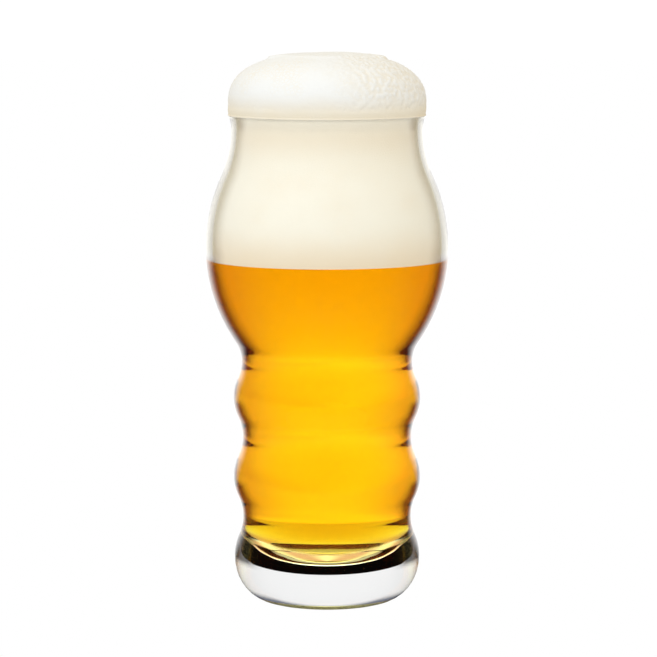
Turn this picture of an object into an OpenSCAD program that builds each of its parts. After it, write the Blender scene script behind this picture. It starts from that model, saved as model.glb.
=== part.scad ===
// Tulip beer glass with a ringed grip and a heavy base, filled with beer under a foam head.
// Millimetres, +Z up, origin at the centre of the table face under the base.
// Every piece is a body of revolution, and the beer and the foam take their walls from the
// same inner outline as the glass, so the fill follows any change of size.

/* [Base] */
// Outside diameter at the widest part of the base
base_d = 67.4; // [62:0.2:74]
// Height of the widest part of the base above the table
base_h = 16.4; // [12:0.2:20]
// Outside diameter of the flat ring that the glass stands on
stand_d = 40.4; // [34:0.2:50]
// Width of the flat ring that the glass stands on
stand_w = 4.2; // [2:0.2:8]
// Depth of the hollow under the base
punt_depth = 1.2; // [0.4:0.1:3]
// Thickness of the glass between the table and the inside floor
floor_t = 15; // [10:0.2:18]
// Diameter of the flat part of the inside floor
floor_d = 22; // [10:1:34]

/* [Grip] */
// Number of grip rings above the base
ring_count = 2; // [1:1:4]
// Outside diameter over a grip ring
ring_d = 67.8; // [63:0.2:72]
// Outside diameter at the waists beside the rings
waist_d = 61.2; // [57:0.2:64]
// Height from the base to the first ring, and from ring to ring
ring_pitch = 29; // [22:0.2:36]
// Outside diameter of the collar, the waist under the bowl
collar_d = 61.8; // [57:0.2:66]
// Height from the top ring to the collar
collar_rise = 13; // [9:0.2:18]

/* [Bowl] */
// Outside diameter at the widest part of the bowl
bowl_d = 87.8; // [78:0.2:98]
// Height from the collar to the widest part of the bowl
bowl_rise = 41.6; // [32:0.2:54]
// Share of that rise that bends out of the collar, the rest being the bowl's own arc
collar_bend = 0.17; // [0.05:0.01:0.5]
// Outside diameter of the neck under the lip
neck_d = 69.2; // [64:0.2:76]
// Height from the widest part of the bowl to the neck
neck_rise = 42; // [32:0.2:54]
// Share of that rise that is the bowl's own arc, the rest bending into the neck
shoulder_bend = 0.61; // [0.4:0.01:0.9]
// Height from the neck to the top of the lip
lip_rise = 6.2; // [3:0.1:10]
// Outward flare of the lip, beyond the neck, on the radius
lip_flare = 0.95; // [0:0.05:1.5]

/* [Wall] */
// Wall at the grip
grip_wall = 3; // [2:0.1:4.5]
// Wall at the widest part of the bowl
bowl_wall = 2.5; // [1.5:0.1:3.5]
// Wall at the neck and lip
lip_wall = 2; // [1.2:0.1:2.6]

/* [Beer and foam] */
// Depth of the beer's surface below the widest part of the bowl
beer_drop = 4.4; // [0:0.1:20]
// Height of the foam crown above the lip
crown_h = 22; // [10:0.2:30]
// Angle round the lip of the foam crown's lower edge, from 0 at the outer side to 90 at the top
crown_edge = 0; // [0:5:80]
// Distance that the foam crown hangs out over the lip
crown_overhang = 0.4; // [0.2:0.1:2]
// Height above its lower edge at which the foam crown is widest
crown_swell_h = 4.6; // [1:0.1:6]
// Squareness of the foam crown's shoulder, where 2 is an ellipse
crown_squareness = 2.4; // [2:0.1:4]

/* [Hidden] */

// Facets round the axis, and steps along each curved stretch of an outline
$fn = 128;
curve_steps = 10;

base_r = base_d / 2;
stand_r = stand_d / 2;
stand_in_r = stand_r - stand_w;
floor_r = floor_d / 2;
ring_r = ring_d / 2;
waist_r = waist_d / 2;
collar_r = collar_d / 2;
bowl_r = bowl_d / 2;
neck_r = neck_d / 2;
lip_r = neck_r + lip_flare;
lip_round = lip_wall / 2;
lip_crest_r = lip_r - lip_round;
crown_r = lip_r + crown_overhang;

low_waist_z = base_h + ring_pitch / 2;
collar_z = base_h + ring_count * ring_pitch + collar_rise;
bowl_z = collar_z + bowl_rise;
neck_z = bowl_z + neck_rise;
lip_z = neck_z + lip_rise;
lip_side_z = lip_z - lip_round;
beer_z = bowl_z - beer_drop;
crown_low = lip_point(crown_edge);
crown_wide_z = crown_low.y + crown_swell_h;
crown_top_z = lip_z + crown_h;

// Places along the wall where it stands upright, from the base up:
// [outside radius, height, wall, share of the rise to the next place in the lower of its two arcs]
grip_places = [
  for (k = [0 : ring_count - 1]) each [
    [waist_r, low_waist_z + k * ring_pitch, grip_wall, 0.5],
    [ring_r, base_h + (k + 1) * ring_pitch, grip_wall, 0.5]
  ]
];
bowl_places = [
  [collar_r, collar_z, grip_wall, collar_bend],
  [bowl_r, bowl_z, bowl_wall, shoulder_bend],
  [neck_r, neck_z, lip_wall, 0.5]
];
places = concat(grip_places, bowl_places);

// Points from a to b, each [radius, height] and upright at both, along two arcs that meet on a
// common tangent. The lower arc has the given share of the height. Point a itself is left out.
function s_curve(a, b, lower) =
  let (
    rise = b.y - a.y,
    lean = atan2(b.x - a.x, rise),
    turn = abs(lean) < 0.01 ? 0.02 : 2 * lean,
    low_arc = lower * rise / sin(turn),
    high_arc = (1 - lower) * rise / sin(turn)
  )
  concat(
    [for (i = [1 : curve_steps])
      let (t = turn * i / curve_steps)
      [a.x + low_arc * (1 - cos(t)), a.y + low_arc * sin(t)]],
    [for (i = [1 : curve_steps])
      let (t = turn * (1 - i / curve_steps))
      [b.x - high_arc * (1 - cos(t)), b.y - high_arc * sin(t)]]
  );

// Points along a quarter of an ellipse from a, level there, to b, upright there. Point a is left out.
function quarter(a, b) = [
  for (i = [1 : curve_steps])
    let (t = 90 * i / curve_steps)
    [a.x + (b.x - a.x) * sin(t), b.y + (a.y - b.y) * cos(t)]
];

// Points through a list of places, set in from the outside by the given share of the wall
function through(list, inset) =
  let (ends = [for (p = list) [p[0] - inset * p[2], p.y]])
  [for (i = [0 : len(list) - 2]) each s_curve(ends[i], ends[i + 1], list[i][3])];

// Points up the lip's flare from the neck to where the lip's rounding starts, set in as above
function flare(inset) = [
  for (i = [1 : curve_steps])
    let (t = i / curve_steps)
    [neck_r - inset * lip_wall + lip_flare * t * t, neck_z + (lip_side_z - neck_z) * t]
];

// Points round the lip, as angles from its outer side at 0 to its inner side at 180
function lip_point(t) = [lip_crest_r + lip_round * cos(t), lip_side_z + lip_round * sin(t)];
function lip_arc(from, to) = [
  for (i = [0 : curve_steps])
    lip_point(from + (to - from) * i / curve_steps)
];

// The hollow under the base, from the axis to the ring that the glass stands on
punt_path = [
  for (i = [0 : curve_steps])
    let (t = i / curve_steps)
    [stand_in_r * t, punt_depth * (1 - t * t)]
];

outer_path = concat(
  [[stand_r, 0]],
  quarter([stand_r, 0], [base_r, base_h]),
  through(concat([[base_r, base_h, 0, 0.5]], places), 0),
  flare(0)
);

inner_path = concat(
  [[0, floor_t], [floor_r, floor_t]],
  quarter([floor_r, floor_t], [waist_r - grip_wall, low_waist_z]),
  through(places, 1),
  flare(1)
);

// Inside radius at a height above the floor
function inside_r(z) = lookup(z, [for (p = inner_path) [p.y, p.x]]);

// Points of the inner outline strictly between two heights
function inside_between(low, high) = [for (p = inner_path) if (p.y > low && p.y < high) p];

// Volume in millilitres of a solid with this outline from the floor up
function millilitres(path) = PI / 3000 * sum([
  for (i = [1 : len(path) - 1])
    let (a = path[i - 1], b = path[i])
    (b.y - a.y) * (a.x * a.x + a.x * b.x + b.x * b.x)
]);
function sum(list) = list * [for (i = list) 1];

// The beer's outline from the middle of the floor to the edge of its surface
beer_wall = concat(
  [[0, floor_t], [floor_r, floor_t]],
  inside_between(floor_t, beer_z),
  [[inside_r(beer_z), beer_z]]
);

module turned(outline) {
  rotate_extrude()
    polygon(outline);
}

// The one piece of glass: base, grip, bowl and lip
module glass() {
  color("lightcyan", 0.4)
    turned(concat(
      punt_path,
      outer_path,
      lip_arc(0, 180),
      [for (i = [len(inner_path) - 2 : -1 : 0]) inner_path[i]]
    ));
}

// The beer, from the inside floor to its surface under the foam
module beer() {
  color("orange", 0.9)
    turned(concat(beer_wall, [[0, beer_z]]));
}

// The foam that fills the bowl from the beer's surface to the top of the lip
module foam_head() {
  color("blanchedalmond")
    turned(concat(
      [[0, beer_z], [inside_r(beer_z), beer_z]],
      inside_between(beer_z, lip_side_z),
      lip_arc(180, 90),
      [[0, lip_z]]
    ));
}

// The foam that domes up from the lip and swells a little beyond it
module foam_crown() {
  color("ivory")
    turned(concat(
      [[0, lip_z]],
      lip_arc(90, crown_edge),
      quarter(crown_low, [crown_r, crown_wide_z]),
      [for (i = [1 : 2 * curve_steps])
        let (t = 45 * i / curve_steps)
        [crown_r * pow(abs(cos(t)), 2 / crown_squareness),
         crown_wide_z + (crown_top_z - crown_wide_z) * pow(sin(t), 2 / crown_squareness)]]
    ));
}

echo(lip_height = lip_z, brimful_ml = millilitres(inner_path), beer_ml = millilitres(beer_wall));

glass();
beer();
foam_head();
foam_crown();
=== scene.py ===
# Tulip beer glass: the looks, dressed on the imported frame. Metres, +Z up, camera on the -Y side.
import math

import bmesh
import bpy
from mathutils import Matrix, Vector, noise


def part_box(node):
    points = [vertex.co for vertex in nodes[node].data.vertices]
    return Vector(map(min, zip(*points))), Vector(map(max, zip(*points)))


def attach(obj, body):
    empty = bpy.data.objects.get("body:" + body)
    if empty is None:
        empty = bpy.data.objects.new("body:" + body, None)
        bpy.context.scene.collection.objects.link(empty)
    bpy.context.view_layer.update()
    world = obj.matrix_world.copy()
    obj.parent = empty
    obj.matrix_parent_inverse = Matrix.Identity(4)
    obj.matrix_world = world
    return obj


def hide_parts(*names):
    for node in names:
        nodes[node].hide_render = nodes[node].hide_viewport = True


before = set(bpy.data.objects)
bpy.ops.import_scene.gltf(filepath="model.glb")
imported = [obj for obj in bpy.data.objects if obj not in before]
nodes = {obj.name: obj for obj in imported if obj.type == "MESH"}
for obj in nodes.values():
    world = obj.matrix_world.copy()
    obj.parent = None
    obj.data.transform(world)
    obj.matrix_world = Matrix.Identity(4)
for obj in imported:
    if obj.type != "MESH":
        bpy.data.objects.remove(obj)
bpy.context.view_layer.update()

scene = bpy.context.scene
MM = 0.001

# Heights that the pieces share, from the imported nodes
lip_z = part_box("glass")[1].z
beer_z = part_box("beer")[1].z

# Tint of the glass, and the painted shade at its edges round the beer, round the foam, at the foot and at
# the shoulder of the base
CLEAR = (0.985, 0.99, 0.99, 1)
BEER_EDGE_SHADE = (0.11, 0.045, 0.03, 1)
FOAM_EDGE_SHADE = (0.5, 0.45, 0.33, 1)
FOOT_SHADE = (0.05, 0.058, 0.09, 1)
SHOULDER_SHADE = (0.03, 0.03, 0.035, 1)

# Refraction: glass in air, and glass against beer
GLASS_IOR = 1.52
BEER_IOR = 1.34

# The beer reaches a little into the wall so that no air shows between them; the froth keeps a little air
BEER_OVERLAP = 0.15 * MM
FOAM_AIR = 0.05 * MM
TURN_STEPS = 192

# Froth on the crown: its flat top, the step round that, its lumps and bubbles, and its lower edge drawn in
FLAT_R = 22.5 * MM
FLAT_SAG = 1.6 * MM
STEP_DROP = 30 * MM
LUMP_H = 0.5 * MM
BUBBLE = 1.5 * MM
BUBBLE_H = 0.35 * MM
TUCK = 0.3 * MM


# Meshes
def outline(node):
    """The node's half section as [(radius, height)], from the axis at its foot to the axis at its top."""
    mesh = nodes[node].data
    key = lambda v: (round(v.co.x * 1e7), round(v.co.z * 1e7))
    seam = {v.index: key(v) for v in mesh.vertices if abs(v.co.y) < 1e-7 and v.co.x > -1e-9}
    links = {}
    for edge in mesh.edges:
        a, b = edge.vertices
        if a in seam and b in seam and seam[a] != seam[b]:
            links.setdefault(seam[a], set()).add(seam[b])
            links.setdefault(seam[b], set()).add(seam[a])
    ends = [k for k, others in links.items() if len(others) == 1]
    walk = [min(ends, key=lambda k: k[1])]
    while True:
        onward = [k for k in links[walk[-1]] if len(walk) < 2 or k != walk[-2]]
        if not onward:
            break
        walk.append(onward[0])
    points = [(r / 1e7, z / 1e7) for r, z in walk]
    if points[0][0] > 1e-6:
        points.insert(0, (0.0, points[0][1]))
    if points[-1][0] > 1e-6:
        points.append((0.0, points[-1][1]))
    return simplified(points)


def simplified(points):
    """The outline without points that lie on a straight run."""
    kept = [points[0]]
    for i in range(1, len(points) - 1):
        a, b, c = kept[-1], points[i], points[i + 1]
        cross = (b[0] - a[0]) * (c[1] - b[1]) - (b[1] - a[1]) * (c[0] - b[0])
        if abs(cross) > 1e-4 * math.dist(a, b) * math.dist(b, c):
            kept.append(b)
    return kept + [points[-1]]


def grown(points, by):
    """The outline moved outward by a small step, apart from its ends on the axis."""
    moved = []
    for i, (r, z) in enumerate(points):
        a = points[max(i - 1, 0)]
        c = points[min(i + 1, len(points) - 1)]
        run, rise = c[0] - a[0], c[1] - a[1]
        step = by / math.hypot(run, rise)
        moved.append((max(r + step * rise, 0.0) if r > 1e-7 else 0.0, z - step * run))
    return moved


def even(points, step):
    """The outline with points added so that none is more than a step from the next."""
    dense = [points[0]]
    for a, b in zip(points, points[1:]):
        count = math.ceil(math.dist(a, b) / step)
        for k in range(1, count + 1):
            t = k / count
            dense.append((a[0] + (b[0] - a[0]) * t, a[1] + (b[1] - a[1]) * t))
    return dense


def turned(name, points, steps=TURN_STEPS, sharp=35):
    """A closed body of revolution about the Z axis."""
    mesh = bmesh.new()
    rings = []
    for r, z in points:
        if r < 1e-7:
            rings.append([mesh.verts.new((0, 0, z))])
        else:
            turns = (2 * math.pi * i / steps for i in range(steps))
            rings.append([mesh.verts.new((r * math.cos(t), r * math.sin(t), z)) for t in turns])
    for low, high in zip(rings, rings[1:]):
        for i in range(steps):
            j = (i + 1) % steps
            if len(low) == 1:
                mesh.faces.new((low[0], high[j], high[i]))
            elif len(high) == 1:
                mesh.faces.new((low[i], low[j], high[0]))
            else:
                mesh.faces.new((low[i], low[j], high[j], high[i]))
    bmesh.ops.recalc_face_normals(mesh, faces=mesh.faces)
    data = bpy.data.meshes.new(name)
    mesh.to_mesh(data)
    mesh.free()
    data.shade_smooth()
    data.set_sharp_from_angle(angle=math.radians(sharp))
    piece = bpy.data.objects.new(name, data)
    scene.collection.objects.link(piece)
    return piece


def froth(piece):
    """Lumps, a flat top with a soft step round it, and bubbles that are coarser on the right; each point
    also keeps how deep it lies in a hollow between bubbles, which the foam paints as shade.
    """
    hollow_shade = piece.data.attributes.new("hollow_shade", "FLOAT", "POINT")
    top = max(v.co.z for v in piece.data.vertices)
    normals = [v.normal.copy() for v in piece.data.vertices]
    for v, normal in zip(piece.data.vertices, normals):
        grow = smooth(v.co.z, lip_z + 1 * MM, lip_z + 3 * MM)
        lump = 0.5 + 0.5 * noise.noise(v.co / (14 * MM) + Vector((3, 1, 7)))
        away = math.hypot(v.co.x, v.co.y) + 1.2 * MM * noise.noise(v.co / (11 * MM))
        spread = 6 * MM + 16 * MM * smooth(abs(v.co.y) / max(away, MM), 0.1, 0.5)
        drop = STEP_DROP * smooth(away, FLAT_R - 0.3 * spread, FLAT_R + spread)
        flat = top - FLAT_SAG * (away / FLAT_R) ** 2 - drop
        nearest = noise.voronoi(v.co / BUBBLE)[0][0]
        bubble = math.sqrt(max(1 - (nearest / 0.6) ** 2, 0.0))
        coarse = smooth(v.co.x + 12 * MM * noise.noise(v.co / (10 * MM)), -5 * MM, 25 * MM)
        hollow_shade.data[v.index].value = grow * coarse * (1 - bubble)
        if normal.z > 0:
            v.co.z = max(v.co.z, flat)
        v.co -= normal * grow * (LUMP_H * lump + BUBBLE_H * (0.2 + 0.8 * coarse) * (1 - bubble))
        v.co -= normal * (1 - grow) * FOAM_AIR
        side = Vector((v.co.x, v.co.y, 0)).normalized()
        if normal.dot(side) > 0.3:
            v.co -= side * TUCK * (1 - smooth(v.co.z, lip_z - 1 * MM, lip_z + 5 * MM))


def smooth(value, start, end):
    """A smooth step from 0 at start to 1 at end."""
    t = min(max((value - start) / (end - start), 0.0), 1.0)
    return t * t * (3 - 2 * t)


# Shader nodes
def add(tree, kind, inputs=None, **settings):
    """A new shader node. Its inputs, by name or number, take plain values or other nodes' outputs."""
    made = tree.nodes.new("ShaderNode" + kind)
    for name, value in settings.items():
        setattr(made, name, value)
    for socket, value in (inputs or {}).items():
        connect(tree, made.inputs[socket], value)
    return made


def connect(tree, socket, value):
    if isinstance(value, bpy.types.NodeSocket):
        tree.links.new(value, socket)
    else:
        socket.default_value = value


def maths(tree, operation, a, b=0.0):
    return add(tree, "Math", {0: a, 1: b}, operation=operation).outputs[0]


def ramp(tree, value, start, end, low=0.0, high=1.0):
    """A smooth step of the value, from low at start to high at end."""
    inputs = {"Value": value, "From Min": start, "From Max": end, "To Min": low, "To Max": high}
    return add(tree, "MapRange", inputs, interpolation_type="SMOOTHSTEP").outputs["Result"]


def mixed(tree, factor, a, b):
    """Colour a at factor 0 and b at 1 or more."""
    return add(tree, "Mix", {0: factor, 6: a, 7: b}, data_type="RGBA", clamp_factor=True).outputs[2]


def scaled(tree, colour, by):
    """The colour times a number, or times three for its three parts."""
    return add(tree, "VectorMath", {0: colour, 1: by}, operation="MULTIPLY").outputs[0]


def grey(level):
    return (level, level, level, 1)


def new_material(name):
    made = bpy.data.materials.new(name)
    made.use_nodes = True
    return made, made.node_tree, made.node_tree.nodes["Principled BSDF"]


def object_place(tree):
    return add(tree, "TexCoord").outputs["Object"]


# Materials
def clear_glass(name, ior):
    """Polished glass with the faint ripple that blowing leaves."""
    made, tree, shader = new_material(name)
    ripple = add(tree, "TexNoise", {"Vector": object_place(tree), "Scale": 45.0, "Detail": 1.0})
    bump = add(tree, "Bump", {"Height": ripple.outputs[0], "Strength": 0.03, "Distance": 1 * MM})
    tree.links.new(bump.outputs["Normal"], shader.inputs["Normal"])
    shader.inputs["Base Color"].default_value = CLEAR
    shader.inputs["Roughness"].default_value = 0.0
    shader.inputs["IOR"].default_value = ior
    shader.inputs["Transmission Weight"].default_value = 1.0
    return made


def outer_glass():
    """The outside, with painted shade at its edges: dim where the wall leans out round the beer, tan round
    the foam, and dark at the foot and at the shoulder of the base."""
    made = clear_glass("glass_outside", GLASS_IOR)
    tree = made.node_tree
    facing = add(tree, "LayerWeight").outputs["Facing"]
    normal = add(tree, "SeparateXYZ", {0: add(tree, "TexCoord").outputs["Normal"]}).outputs
    height = add(tree, "SeparateXYZ", {0: object_place(tree)}).outputs["Z"]
    # Painted shade: the tints below darken the glass where its surface turns away from the view
    slant = ramp(tree, facing, 0.44, 0.66)
    above_base = ramp(tree, height, 20 * MM, 32 * MM)
    leaning = maths(tree, "MULTIPLY", ramp(tree, normal["Z"], 0.08, -0.12), above_base)
    colour = mixed(tree, maths(tree, "MULTIPLY", slant, leaning), CLEAR, BEER_EDGE_SHADE)
    foam_edge_mask = maths(tree, "MULTIPLY", slant, ramp(tree, height, beer_z, beer_z + 4 * MM))
    colour = mixed(tree, foam_edge_mask, colour, FOAM_EDGE_SHADE)
    # Painted shade at the foot
    foot = maths(tree, "MULTIPLY", ramp(tree, facing, 0.48, 0.64), ramp(tree, height, 6 * MM, 3 * MM))
    colour = mixed(tree, foot, colour, FOOT_SHADE)
    # Painted shade at the shoulder of the base
    over_foot = ramp(tree, height, 14 * MM, 17 * MM)
    under_grip = ramp(tree, height, 28 * MM, 23 * MM)
    shoulder = maths(tree, "MULTIPLY", over_foot, under_grip)
    shoulder = maths(tree, "MULTIPLY", shoulder, ramp(tree, facing, 0.28, 0.5))
    colour = mixed(tree, shoulder, colour, SHOULDER_SHADE)
    connect(tree, tree.nodes["Principled BSDF"].inputs["Base Color"], colour)
    return made


def amber_beer():
    """Clear beer that absorbs light along its depth. The colours of the stage add to what is seen."""
    made, tree, shader = new_material("beer")
    shader.inputs["Base Color"].default_value = (1, 1, 1, 1)
    shader.inputs["Roughness"].default_value = 0.0
    shader.inputs["IOR"].default_value = 1.0
    shader.inputs["Transmission Weight"].default_value = 1.0
    depth = add(tree, "VolumeAbsorption", {"Color": (0.918, 0.795, 0.0, 1), "Density": 110.0})
    tree.links.new(depth.outputs["Volume"], tree.nodes["Material Output"].inputs["Volume"])
    return made


def foam(name, light, dark, tan_heights, bubble):
    """Froth: light, with painted shade in the seams between bubbles and in the hollows between the crown's
    bubbles, and darker and tanner near given heights. Each tan band is given as a height, how far the dark
    reaches from it and how dark it gets there."""
    made, tree, shader = new_material(name)
    place = object_place(tree)
    height = add(tree, "SeparateXYZ", {0: place}).outputs["Z"]
    cloud = add(tree, "TexNoise", {"Vector": place, "Scale": 70.0, "Detail": 3.0}).outputs[0]
    froth_cells = {"Vector": place, "Scale": 1 / bubble}
    cells = add(tree, "TexVoronoi", froth_cells, feature="DISTANCE_TO_EDGE").outputs["Distance"]
    patches = ramp(tree, cloud, 0.35, 0.75, 0.0, 0.3)
    # Painted shade in the seams between bubbles, in patches
    seam_shade = maths(tree, "MULTIPLY", ramp(tree, cells, 0.0, 0.22, 1.0, 0.0), patches)
    # Painted shade in the hollows between the crown's bubbles
    hollow_shade_share = maths(tree, "MULTIPLY", add(tree, "Attribute", attribute_name="hollow_shade").outputs["Fac"], 0.35)
    share = maths(tree, "MAXIMUM", seam_shade, hollow_shade_share)
    for at, reach, most in tan_heights:
        off = maths(tree, "ABSOLUTE", maths(tree, "SUBTRACT", height, at))
        ragged = maths(tree, "ADD", off, maths(tree, "MULTIPLY", cloud, 4 * MM))
        share = maths(tree, "MAXIMUM", share, ramp(tree, ragged, 0.0, reach, most, 0.0))
    connect(tree, shader.inputs["Base Color"], mixed(tree, share, light, dark))
    bump = add(tree, "Bump", {"Height": cells, "Strength": 0.25, "Distance": 0.3 * MM})
    tree.links.new(bump.outputs["Normal"], shader.inputs["Normal"])
    shader.inputs["Roughness"].default_value = 0.9
    shader.inputs["Specular IOR Level"].default_value = 0.2
    return made


# Pieces
def dress(piece, node, *materials):
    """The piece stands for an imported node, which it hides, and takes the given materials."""
    for made in materials:
        piece.data.materials.append(made)
    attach(piece, "root")
    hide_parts(node)


def parted(points, start, height):
    """The outline with a point added at a height, on its way down after the start."""
    for i in range(start, len(points) - 1):
        a, b = points[i], points[i + 1]
        if b[1] < height < a[1]:
            t = (height - a[1]) / (b[1] - a[1])
            return points[:i + 1] + [(a[0] + t * (b[0] - a[0]), height)] + points[i + 1:]
    return points


def glass_vessel():
    points = outline("glass")
    crest = max(range(len(points)), key=lambda i: points[i][1])
    points = parted(points, crest, beer_z)
    piece = turned("glass_vessel", points)
    dress(piece, "glass", outer_glass(), clear_glass("glass_inside", GLASS_IOR),
          clear_glass("glass_wet", GLASS_IOR / BEER_IOR))
    for face in piece.data.polygons:
        stretch = face.index // TURN_STEPS
        if stretch >= crest:
            face.material_index = 2 if points[stretch][1] < beer_z + 0.01 * MM else 1


def beer_fill():
    dress(turned("beer_fill", grown(outline("beer"), BEER_OVERLAP)), "beer", amber_beer())


def foam_in_glass():
    tan_heights = [(beer_z, 18 * MM, 1.0), (lip_z - 8 * MM, 15 * MM, 0.5)]
    # A shaded copy of the crown's froth: warmer, as painted shade of the glass round it, and brighter, to
    # make up for the light that the glass takes
    froth_behind_glass = foam("foam_behind_glass", (0.95, 0.91, 0.785, 1), (0.87, 0.74, 0.54, 1), tan_heights, 0.9 * MM)
    dress(turned("foam_in_glass", grown(outline("foam_head"), -FOAM_AIR)), "foam_head", froth_behind_glass)


def foam_dome():
    tan_heights = [(lip_z, 11 * MM, 0.8)]
    # A lit copy of the same froth, greyer than the one in the glass because it stands in full light
    white = foam("foam_white", (0.83, 0.84, 0.825, 1), (0.8, 0.7, 0.5, 1), tan_heights, 1.4 * MM)
    piece = turned("foam_dome", even(outline("foam_crown"), 0.6 * MM), steps=384, sharp=60)
    froth(piece)
    dress(piece, "foam_crown", white)


glass_vessel()
beer_fill()
foam_in_glass()
foam_dome()

# Camera: a little above the lip, about 1.2 m away, tilted down to frame the glass as the photograph does
IMAGE_PX = 657
SENSOR_MM = 36.0
CAMERA_AWAY = 1.197
MM_PER_PX = 0.3618
HORIZON_ROW = -50.0
LIP_ROW = 112.7
AXIS_COLUMN = 327.0
pixel = MM_PER_PX * MM
focal_px = CAMERA_AWAY / pixel
tilt = math.atan((IMAGE_PX / 2 - HORIZON_ROW) / focal_px)
camera = bpy.data.objects.new("camera", bpy.data.cameras.new("camera"))
scene.collection.objects.link(camera)
scene.camera = camera
camera.data.sensor_width = SENSOR_MM
camera.data.lens = SENSOR_MM * focal_px / math.cos(tilt) / IMAGE_PX
camera.data.clip_start = 0.01
camera_x = (IMAGE_PX / 2 - AXIS_COLUMN) * pixel
camera_z = lip_z - (HORIZON_ROW - LIP_ROW) * pixel
camera.location = (camera_x, -CAMERA_AWAY, camera_z)
camera.rotation_euler = (math.pi / 2 - tilt, 0, 0)


# Stage: a white floor and backdrop that glow, in a colour for each way that light reaches them
AHEAD = (2.25, 2.54, 2.0, 1)
ASIDE = (1.6, 1.2, 1.0, 1)
TURNED = (0.88, 0.75, 0.46)
SHADED = (0.69, 0.63, 0.45, 1)
LIT = (1.0, 0.955, 0.9, 1)
KEY_FROM = (-0.3, -0.66, 0.69)
KEY_LAMP = (1.37, 1.38, 1.39, 1)
SIDE_LAMP = (0.64, 0.5, 0.27, 1)


def by_ray(tree, seen, through, inside, mirrored, lighting):
    """The colour for a ray seen by the camera, through the glass, turned round inside it, mirrored by it
    or lighting the foam."""
    path = add(tree, "LightPath").outputs
    passed = mixed(tree, path["Glossy Depth"], through, inside)
    colour = mixed(tree, path["Is Glossy Ray"], seen, mirrored)
    colour = mixed(tree, path["Is Transmission Ray"], colour, passed)
    return mixed(tree, path["Diffuse Depth"], colour, lighting)


def sweep(tree, toward):
    """Colours of the white sweep in a direction: through the glass and mirrored by it."""
    x, y, z = add(tree, "SeparateXYZ", {0: toward}).outputs
    off_axis = maths(tree, "MINIMUM", maths(tree, "ABSOLUTE", x), maths(tree, "ABSOLUTE", y))
    through = mixed(tree, ramp(tree, off_axis, 0.04, 0.58), AHEAD, ASIDE)
    through = scaled(tree, through, ramp(tree, z, 0.35, 0.65, 1.0, 0.35))
    backdrop_glint = ramp(tree, y, 0.66, 0.93, 0.03, 1.4)
    overhead_glint = ramp(tree, z, 0.9, 0.97, 0.0, 3.0)
    mirrored = maths(tree, "ADD", backdrop_glint, overhead_glint)
    return through, mirrored


def turned_round(tree, through, share):
    """The colour for light turned round inside the glass, dimmed to a share."""
    return scaled(tree, scaled(tree, through, TURNED), share)


def stage_turned(name, points, steps=96):
    """An open surface of revolution that glows, and the tree of its material."""
    turns = [2 * math.pi * i / steps for i in range(steps)]
    data = bpy.data.meshes.new(name)
    verts = [(r * math.cos(t), r * math.sin(t), z) for r, z in points for t in turns]
    starts = [k * steps for k in range(len(points) - 1)]
    bands = [(start + i, start + (i + 1) % steps) for start in starts for i in range(steps)]
    data.from_pydata(verts, [], [(a, b, b + steps, a + steps) for a, b in bands])
    made, tree, shader = new_material(name)
    tree.nodes.remove(shader)
    glow = add(tree, "Emission")
    tree.links.new(glow.outputs[0], tree.nodes["Material Output"].inputs["Surface"])
    data.materials.append(made)
    piece = bpy.data.objects.new(name, data)
    scene.collection.objects.link(piece)
    return piece, tree, glow


def floor():
    """The floor. Through the glass it shows painted shade near the glass and painted light to the left."""
    _, tree, glow = stage_turned("floor", [(0.1 * MM, -0.1 * MM), (6.0, -0.1 * MM)])
    place = object_place(tree)
    away = add(tree, "VectorMath", {0: place}, operation="LENGTH").outputs["Value"]
    toward = add(tree, "VectorMath", {0: place}, operation="NORMALIZE").outputs[0]
    through, mirrored = sweep(tree, toward)
    part = add(tree, "SeparateXYZ", {0: place}).outputs
    through = scaled(tree, through, mixed(tree, ramp(tree, away, 0.105, 0.14), SHADED, LIT))
    # Painted light: brighter to the left and dimmer to the right, for rays through the glass
    through = scaled(tree, through, ramp(tree, part["X"], -0.2, 0.2, 1.1, 0.94))
    inside = turned_round(tree, through, ramp(tree, part["Y"], -0.3, -0.05))
    connect(tree, glow.inputs["Color"], by_ray(tree, grey(1.0), through, inside, mirrored, grey(0.85)))


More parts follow.
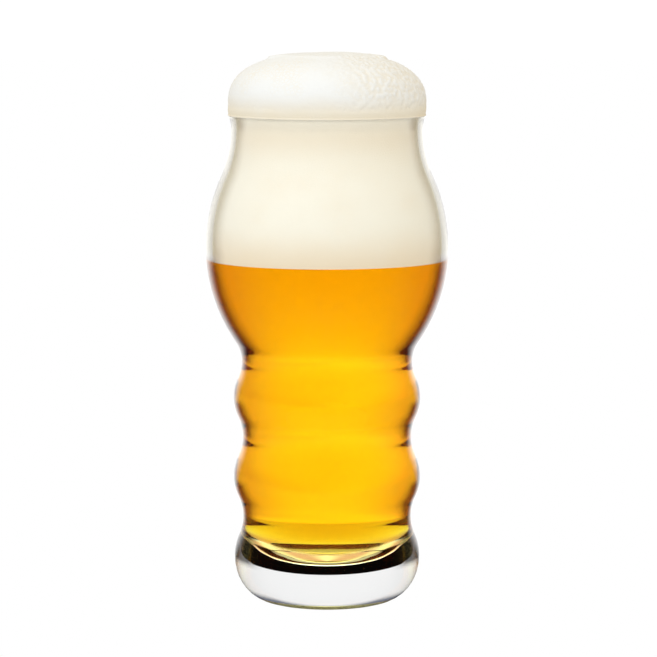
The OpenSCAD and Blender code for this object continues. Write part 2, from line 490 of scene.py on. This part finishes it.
def card(name, points, level):
    """A card round the base that only light from the solid glass there meets, not from beer or lip, and
    that nothing else sees. The black one is a dark sheet that paints shade into the base; the pale one
    glows above it.
    """
    piece, tree, glow = stage_turned(name, points)
    glow.inputs["Strength"].default_value = level
    path = add(tree, "LightPath").outputs
    from_beer = maths(tree, "GREATER_THAN", path["Transmission Depth"], 3)
    from_lip = maths(tree, "GREATER_THAN", path["Ray Length"], CARD_REACH)
    clear = add(tree, "BsdfTransparent").outputs[0]
    hidden = maths(tree, "MAXIMUM", from_beer, from_lip)
    shown = add(tree, "MixShader", {0: hidden, 1: glow.outputs[0], 2: clear}).outputs[0]
    tree.links.new(shown, tree.nodes["Material Output"].inputs["Surface"])
    piece.visible_camera = False
    piece.visible_diffuse = False
    piece.visible_glossy = False
    piece.visible_shadow = False


CARD_R = 200 * MM
CARD_TOP = 22.5 * MM
PALE_TOP = 300 * MM
CARD_REACH = 225 * MM
CARD_FOOT = 0.05 * MM
CARD_HOLE_R = 20 * MM
floor()
card("black_card", [(CARD_HOLE_R, CARD_FOOT), (CARD_R, CARD_FOOT), (CARD_R, CARD_TOP)], 0.0)
card("pale_card", [(CARD_R, CARD_TOP), (CARD_R, PALE_TOP)], 1.0)

# World
world = bpy.data.worlds.new("studio")
scene.world = world
world.use_nodes = True
tree = world.node_tree
backdrop = tree.nodes["Background"]
toward = add(tree, "TexCoord").outputs["Generated"]
key = add(tree, "VectorMath", {0: toward, 1: KEY_FROM}, operation="DOT_PRODUCT").outputs["Value"]
lamp = mixed(tree, ramp(tree, key, -0.15, 0.92), SIDE_LAMP, KEY_LAMP)
through, mirrored = sweep(tree, toward)
behind = add(tree, "SeparateXYZ", {0: toward}).outputs["Y"]
inside = turned_round(tree, through, ramp(tree, behind, -0.3, 0.5, 0.04, 1.0))
connect(tree, backdrop.inputs["Color"], by_ray(tree, grey(1.02), through, inside, mirrored, lamp))

# Light paths: enough turns inside the glass, and none of them softened, which would dim the foam behind it
scene.view_settings.view_transform = "Standard"
scene.cycles.max_bounces = 32
scene.cycles.diffuse_bounces = 6
scene.cycles.glossy_bounces = 16
scene.cycles.transmission_bounces = 24
scene.cycles.blur_glossy = 0.0
